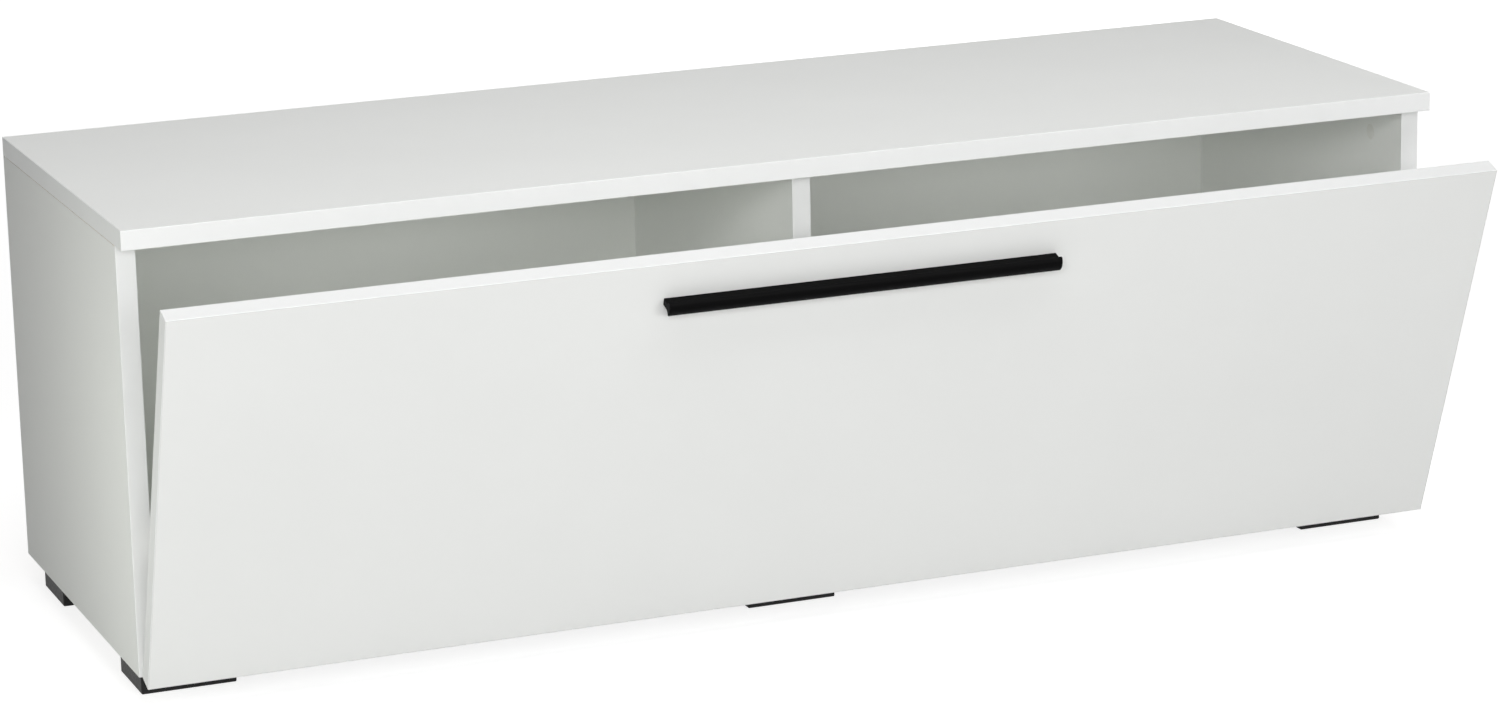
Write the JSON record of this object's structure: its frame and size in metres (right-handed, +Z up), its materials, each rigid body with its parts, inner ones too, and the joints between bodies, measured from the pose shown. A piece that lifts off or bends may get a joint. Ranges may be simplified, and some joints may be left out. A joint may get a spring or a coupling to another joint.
{
  "type": "low storage cabinet",
  "caption": "Low white media cabinet on dark block feet, with a divider and one wide drop-down flap on hinges and slotted stays, opened by a dark bar handle.",
  "frame": {"origin": "on the floor, under the middle of the middle front foot, which is mid-width of the cabinet", "axes": "+X to the right seen from the front, along the width; +Y to the back; +Z up"},
  "size_m": [1.28, 0.5768, 0.44],
  "materials": {
    "white_melamine": "white melamine-faced chipboard, fine pearl texture, satin",
    "white_edge": "white plastic edge band, satin",
    "hardboard": "hardboard back, white lacquer inside, bare brown outside",
    "black_plastic": "charcoal moulded plastic, fine grain",
    "black_aluminium": "black anodised aluminium, matt",
    "nickel_steel": "nickel-plated steel",
    "zinc_screw": "zinc-plated steel fasteners",
    "zinc_cast": "die-cast zinc cams",
    "white_plastic": "white plastic covers",
    "beech": "fluted beech dowels",
    "clear_rubber": "soft translucent bumpers"
  },
  "bodies": {
    "carcass": {"back_nails": "zinc_screw", "back_panel": "hardboard", "bottom_edge_band": "white_edge", "bottom_panel": "white_melamine", "cam_bolts": "zinc_screw", "cam_covers": "white_plastic", "cam_locks": "zinc_cast", "divider_edge_band": "white_edge", "divider_panel": "white_melamine", "foot_back_left": "black_plastic", "foot_back_middle": "black_plastic", "foot_back_right": "black_plastic", "foot_front_left": "black_plastic", "foot_front_middle": "black_plastic", "foot_front_right": "black_plastic", "foot_screws": "zinc_screw", "hinge_fixed_screws": "zinc_screw", "hinge_left_fixed_leaf": "nickel_steel", "hinge_left_pin": "nickel_steel", "hinge_middle_fixed_leaf": "nickel_steel", "hinge_middle_pin": "nickel_steel", "hinge_right_fixed_leaf": "nickel_steel", "hinge_right_pin": "nickel_steel", "left_side_edge_band": "white_edge", "left_side_panel": "white_melamine", "right_side_edge_band": "white_edge", "right_side_panel": "white_melamine", "stay_left_stud_cap": "nickel_steel", "stay_left_stud_plate": "nickel_steel", "stay_right_stud_cap": "nickel_steel", "stay_right_stud_plate": "nickel_steel", "stay_stud_screws": "zinc_screw", "top_front_edge_band": "white_edge", "top_left_edge_band": "white_edge", "top_panel": "white_melamine", "top_right_edge_band": "white_edge", "wood_dowels": "beech"},
    "flap": {"flap_bottom_edge_band": "white_edge", "flap_bumpers": "clear_rubber", "flap_door": "white_melamine", "flap_left_edge_band": "white_edge", "flap_right_edge_band": "white_edge", "flap_top_edge_band": "white_edge", "handle_bar": "black_aluminium", "handle_screws": "zinc_screw", "hinge_door_screws": "zinc_screw", "hinge_left_door_leaf": "nickel_steel", "hinge_middle_door_leaf": "nickel_steel", "hinge_right_door_leaf": "nickel_steel", "stay_bracket_screws": "zinc_screw", "stay_left_bracket": "nickel_steel", "stay_left_rivet": "nickel_steel", "stay_right_bracket": "nickel_steel", "stay_right_rivet": "nickel_steel"},
    "stay_left": {"stay_left_bar": "nickel_steel"},
    "stay_right": {"stay_right_bar": "nickel_steel"}
  },
  "joints": [
    {"name": "flap_hinge", "type": "hinge", "parent": "carcass", "child": "flap", "pos_m": [0, -0.0811, 0.0279], "axis": [1, 0, 0], "range_deg": [-20, 65]},
    {"name": "stay_left_pivot", "type": "hinge", "parent": "flap", "child": "stay_left", "pos_m": [-0.6185, -0.1172, 0.1531], "axis": [1, 0, 0], "range_deg": [-32.5, 10]},
    {"name": "stay_right_pivot", "type": "hinge", "parent": "flap", "child": "stay_right", "pos_m": [0.6185, -0.1172, 0.1531], "axis": [1, 0, 0], "range_deg": [-32.5, 10]}
  ],
  "couplings": [
    {"joint": "stay_left_pivot", "follows": "flap_hinge", "ratio": -0.5},
    {"joint": "stay_right_pivot", "follows": "flap_hinge", "ratio": -0.5}
  ]
}
